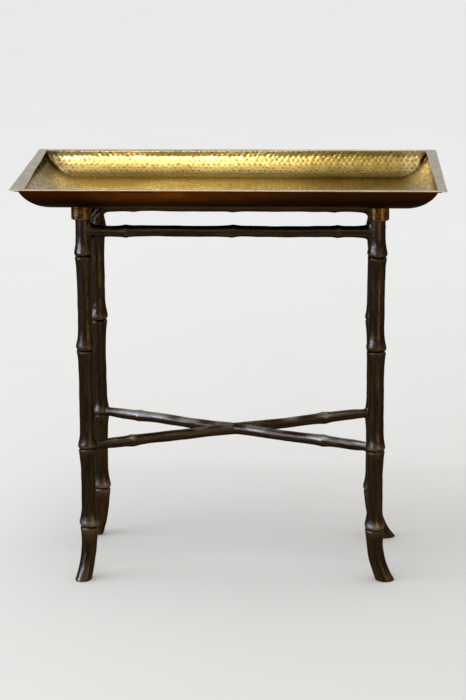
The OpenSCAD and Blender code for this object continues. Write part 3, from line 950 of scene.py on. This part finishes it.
def make_strip(node, start, end, number):
    """A flat strip with eased edges between two corners, mitred there, its outer corners rounded."""
    rng = np.random.default_rng(500 + number)
    lo, hi = box(node)
    low, thick = lo[2], hi[2] - lo[2]
    (outer_a, inner_a), (outer_b, inner_b) = rim_corner(*start), rim_corner(*end)
    length = np.linalg.norm(outer_b - outer_a)
    ahead = (outer_b - outer_a) / length
    inward = np.array([-ahead[1], ahead[0]])
    swing = np.linspace(math.pi / 4, 0, 6)
    bend = RIM_CORNER * np.stack([1 - np.sin(swing), 1 - np.cos(swing)], -1)
    middle_run = np.linspace(RIM_CORNER, length - RIM_CORNER, round(length / 4))[1:-1]
    run_x = np.concatenate([bend[:, 0], middle_run, length - bend[::-1, 0]])
    run_y = np.concatenate([bend[:, 1], 0 * middle_run, bend[::-1, 1]])
    share = ((run_x - run_x[0]) / (run_x[-1] - run_x[0]))[:, None]
    outer = outer_a + run_x[:, None] * ahead + run_y[:, None] * inward
    inner = inner_a * (1 - share) + inner_b * share

    # hand-cut edges and an uneven top, which all come true again at the mitres
    away = smoothstep(np.minimum(run_x, length - run_x) / 60)
    outer = outer + (0.35 * np.abs(waves(rng, run_x, 260)) * away)[:, None] * inward
    inner = inner + (0.45 * waves(rng, run_x, 170) * away)[:, None] * inward
    lift = np.minimum(0.2 * waves(rng, run_x, 120) * away - 0.05, 0)

    # the profile runs from the inner upper edge over the top and back underneath: share of the
    # width, height and how rubbed it is, which on the edges also paints a highlight
    width = np.linalg.norm(outer_a - inner_a) / math.sqrt(2)
    rounding = [(EDGE_R * (1 - math.cos(t)) / width, EDGE_R * (1 - math.sin(t)))
                for t in np.linspace(0, math.pi / 2, 5)]
    profile = [(f, drop, 1.0) for f, drop in rounding] + [(0.35, HOLLOW, 0.0), (0.65, HOLLOW, 0.0)]
    profile += [(1 - f, drop, 1.0) for f, drop in reversed(rounding)]
    ring = [(f, thick - drop, worn) for f, drop, worn in profile]
    ring += [(1.0, EDGE_EASE, 1.0), (0.97, 0.0, 0.1), (0.03, 0.0, 0.1), (0.0, EDGE_EASE, 1.0)]
    rows = []
    for f, z, worn in ring:
        plan = inner * (1 - f) + outer * f
        height = low + z + (lift if z > thick / 2 else 0 * lift)
        rows.append(np.column_stack([plan, height, np.full(len(run_x), worn)]))
    grid = np.stack(rows, 1)
    verts, worn = grid[..., :3], np.maximum(grid[..., 3], RUBBED.get(node, 0))
    along = run_x[:, None] + 0 * worn
    strip = np.stack([along, grid[..., :2] @ inward, verts[..., 2] + STRIP_PATTERN * number], -1)
    attrs = {"strip": strip, "edge": worn}
    faces = tube_faces(len(run_x), len(ring))
    make_piece(node, verts, faces, "tray", [RIM], attrs, sharp_over=45)


# The corners that each strip runs between, counter-clockwise
STRIPS = {"front": ((-1, -1), (1, -1)), "right": ((1, -1), (1, 1)),
          "back": ((1, 1), (-1, 1)), "left": ((-1, 1), (-1, -1))}
for number, (name, (start, end)) in enumerate(STRIPS.items()):
    make_strip("tray_rim_" + name, start, end, number)

# -------------------- studio

CAMERA_AT = (0.1625, -3.5521, 1.2486)
CAMERA_YAW = math.radians(-2.633)
CAMERA_DOWN = math.radians(14.329)
CAMERA_ROLL = math.radians(-0.307)
CAMERA_LENS = 121.09
SENSOR_W = 36.0

BACKDROP = (0.83, 0.83, 0.82)
AMBIENT = (1.05, 1.05, 1.05)
# What the metal reflects: a pale wall behind the table, a dim one in front of it that is paler above
# the table's top, a ceiling, and a rug that the table shades
ROOM = {
    "back": (0.52, 0.51, 0.48),
    "front": (0.09, 0.085, 0.08),
    "front_high": (0.60, 0.57, 0.52),
    "right": (0.17, 0.14, 0.09),
    "upper": (0.36, 0.35, 0.33),
    "ceiling": (1.35, 1.33, 1.2),
    "floor": (0.27, 0.22, 0.15),
    "rug": (0.40, 0.30, 0.18),
    "shade": (0.10, 0.07, 0.045),
}
CEILING_TOWARDS = (-0.14, -0.13, 0.98)   # the middle of the lit part of the ceiling, from the table
FLOOR_HALF = 12.0


def add_facing(obj, at, right, up, back):
    """Put a camera or a light into the scene. Both look away from back."""
    rows = [[right[i], up[i], back[i], at[i]] for i in range(3)] + [[0, 0, 0, 1]]
    obj.matrix_world = Matrix(rows)
    bpy.context.scene.collection.objects.link(obj)


def make_camera():
    """The camera that the photograph was taken with, as far as it could be worked out."""
    cos_y, sin_y = math.cos(CAMERA_YAW), math.sin(CAMERA_YAW)
    cos_d, sin_d = math.cos(CAMERA_DOWN), math.sin(CAMERA_DOWN)
    forward = np.array([sin_y * cos_d, cos_y * cos_d, -sin_d])
    right = np.array([cos_y, -sin_y, 0.0])
    up = np.cross(right, forward)
    cos_r, sin_r = math.cos(CAMERA_ROLL), math.sin(CAMERA_ROLL)
    right, up = right * cos_r + up * sin_r, up * cos_r - right * sin_r
    data = bpy.data.cameras.new("camera")
    data.lens = CAMERA_LENS
    data.sensor_width = SENSOR_W
    camera = bpy.data.objects.new("camera", data)
    add_facing(camera, CAMERA_AT, right, up, -forward)
    bpy.context.scene.camera = camera


def soft_light(name, place, target, size, power, colour, lit=True, reflected=True):
    """A rectangular light facing its target. It lights matt surfaces if lit, and glossy ones show it
    if reflected."""
    data = bpy.data.lights.new(name, "AREA")
    data.shape = "RECTANGLE"
    data.size, data.size_y = size
    data.energy = power
    data.color = colour
    light = bpy.data.objects.new(name, data)
    light.visible_diffuse = lit
    light.visible_glossy = reflected
    from_target = np.array(place) - np.array(target)
    from_target /= np.linalg.norm(from_target)
    side = np.cross([0, 0, 1], from_target)
    side /= np.linalg.norm(side)
    add_facing(light, place, side, np.cross(from_target, side), from_target)


def make_world():
    """A pale backdrop for the camera, even light for matt surfaces, and a room for the reflections."""
    world = bpy.data.worlds.new("studio")
    world.use_nodes = True
    s = Nodes(world.node_tree)
    direction = s.node("ShaderNodeTexCoord").outputs["Generated"]
    x, y, z = s.node("ShaderNodeSeparateXYZ", {"Vector": direction}).outputs
    above = s.ramp(z, 0.04, 0.30)
    front = s.mix(above, ROOM["front"], ROOM["front_high"])
    right = s.mix(above, ROOM["right"], ROOM["front_high"])
    walls = s.mix(s.ramp(y, 0.50, 0.95), front, ROOM["back"])
    walls = s.mix(s.ramp(x, 0.35, 0.95), walls, right)
    walls = s.mix(s.ramp(z, 0.45, 0.75), walls, ROOM["upper"])
    walls = s.mix(s.ramp(z, -0.04, -0.26), walls, ROOM["floor"])
    inputs = {0: direction, 1: CEILING_TOWARDS}
    overhead = s.node("ShaderNodeVectorMath", inputs, operation="DOT_PRODUCT").outputs["Value"]
    ceiling = s.times(s.ramp(overhead, 0.64, 1.0), s.ramp(y, -0.85, -0.40))
    walls = s.mix(ceiling, walls, ROOM["ceiling"])
    under = s.mix(s.ramp(y, 0.25, -0.35), ROOM["shade"], ROOM["rug"])
    walls = s.mix(s.ramp(z, -0.45, -0.8), walls, under)
    path = s.node("ShaderNodeLightPath").outputs
    seen = s.mix(path["Is Glossy Ray"], AMBIENT, walls)
    seen = s.mix(path["Is Camera Ray"], seen, BACKDROP)
    background = s.node("ShaderNodeBackground", {"Color": seen}).outputs[0]
    s.node("ShaderNodeOutputWorld", {"Surface": background})
    world.cycles.sampling_method = "NONE"
    bpy.context.scene.world = world


def make_floor():
    """A plain pale floor, with painted shade that darkens it towards the front, that the metal doesn't
    reflect, as the room has its own.
    """
    s = Shader("pale_floor")
    place = s.node("ShaderNodeTexCoord").outputs["Object"]
    cloud = s.noise(place, 3.0, 3.0)
    away = s.node("ShaderNodeSeparateXYZ", {"Vector": place}).outputs["Y"]
    # painted shade: darker towards the front
    pale = s.mix(s.ramp(away, -0.6, 3.2), (0.64, 0.63, 0.61), (0.79, 0.79, 0.785))
    colour = s.mix(s.times(cloud, 0.06), pale, (0.3, 0.29, 0.28))
    rough = s.ramp(cloud, 0.3, 0.7, 0.75, 0.85)
    material = s.finish(colour, rough, s.bump(cloud, 0.001, 0.1), metallic=0.0)
    s.bsdf.inputs["Specular IOR Level"].default_value = 0.0
    mesh = bpy.data.meshes.new("floor")
    corners = [(-FLOOR_HALF, -FLOOR_HALF, 0), (FLOOR_HALF, -FLOOR_HALF, 0),
               (FLOOR_HALF, FLOOR_HALF, 0), (-FLOOR_HALF, FLOOR_HALF, 0)]
    mesh.from_pydata(corners, [], [(0, 1, 2, 3)])
    mesh.materials.append(material)
    floor = bpy.data.objects.new("floor", mesh)
    bpy.context.scene.collection.objects.link(floor)
    floor.visible_glossy = False


make_camera()
make_floor()
make_world()
# the ceiling's light, and a tube in it whose image is the long highlight on the tray's back wall
soft_light("overhead", (-0.33, -0.35, 2.7), (-0.1, 0, 0.6), (0.55, 1.0), 3.9, (1.0, 0.98, 0.96))
soft_light("tube", (-0.33, -0.82, 2.6), (-0.1, 0, 0.6), (0.50, 0.16), 5.2, (0.93, 0.97, 1.0))
# a window on the left: one light for what it lights, another for its bluish image in the canes
soft_light("window", (-2.3, -0.7, 1.15), (0, 0, 0.4), (1.8, 1.2), 26, (0.86, 0.92, 1.0), reflected=False)
soft_light("pane", (-2.1, -1.25, 0.88), (0, 0, 0.4), (1.8, 0.50), 50, (0.44, 0.56, 1.0), lit=False)
# the sunlit rug's warm image
soft_light("bounce", (1.25, -1.6, 0.22), (0, 0, 0.4), (0.6, 0.4), 2.0, (1.0, 0.70, 0.36), lit=False)
bpy.context.scene.view_settings.view_transform = "Standard"
